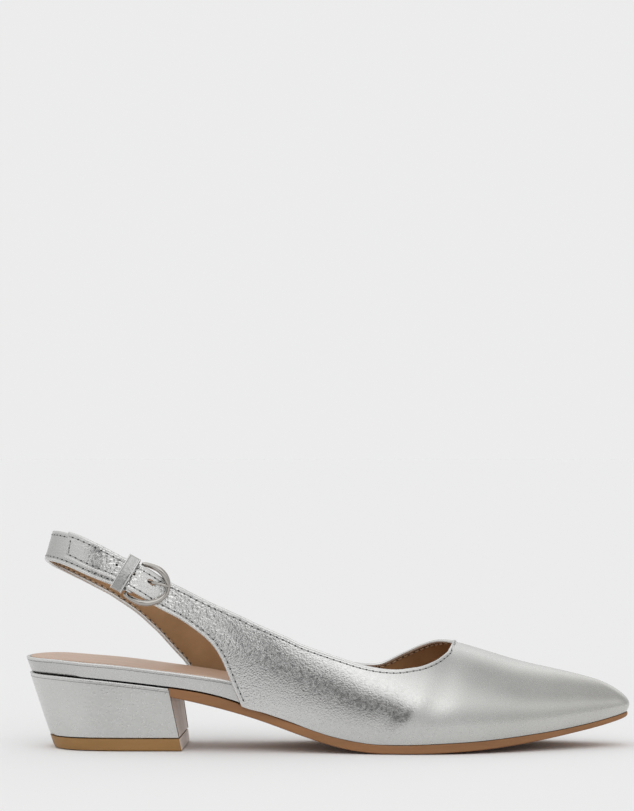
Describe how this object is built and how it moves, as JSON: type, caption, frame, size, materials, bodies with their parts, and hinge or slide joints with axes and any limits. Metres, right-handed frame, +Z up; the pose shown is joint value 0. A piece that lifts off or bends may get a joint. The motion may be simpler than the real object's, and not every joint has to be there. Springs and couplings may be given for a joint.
{
  "type": "slingback pump",
  "caption": "Right slingback pump with a pointed toe, a low covered block heel and a buckled strap round the heel, in metallic silver leather with a tan lining.",
  "frame": {"origin": "middle of the top lift's floor face, under the heel", "axes": "+X towards the toe, +Y towards the inner side of the foot, +Z up"},
  "size_m": [0.2703, 0.0762, 0.0966],
  "materials": {
    "silver_leather": "metallic, crinkled at the quarter, satin at the toe",
    "rim_silver": "metallic, smooth",
    "heel_silver": "metallic, faint pebble",
    "keeper_silver": "metallic, smooth",
    "sock_leather": "matte",
    "sole_leather": "satin",
    "lift_rubber": "satin",
    "buckle_metal": "polished"
  },
  "bodies": {
    "root": {"upper": "silver_leather", "insole_rim": "rim_silver", "insole": "sock_leather", "outsole": "sole_leather", "heel": "heel_silver", "top_lift": "lift_rubber", "buckle_frame": "buckle_metal", "buckle_prong": "buckle_metal", "keeper": "keeper_silver"}
  },
  "joints": []
}
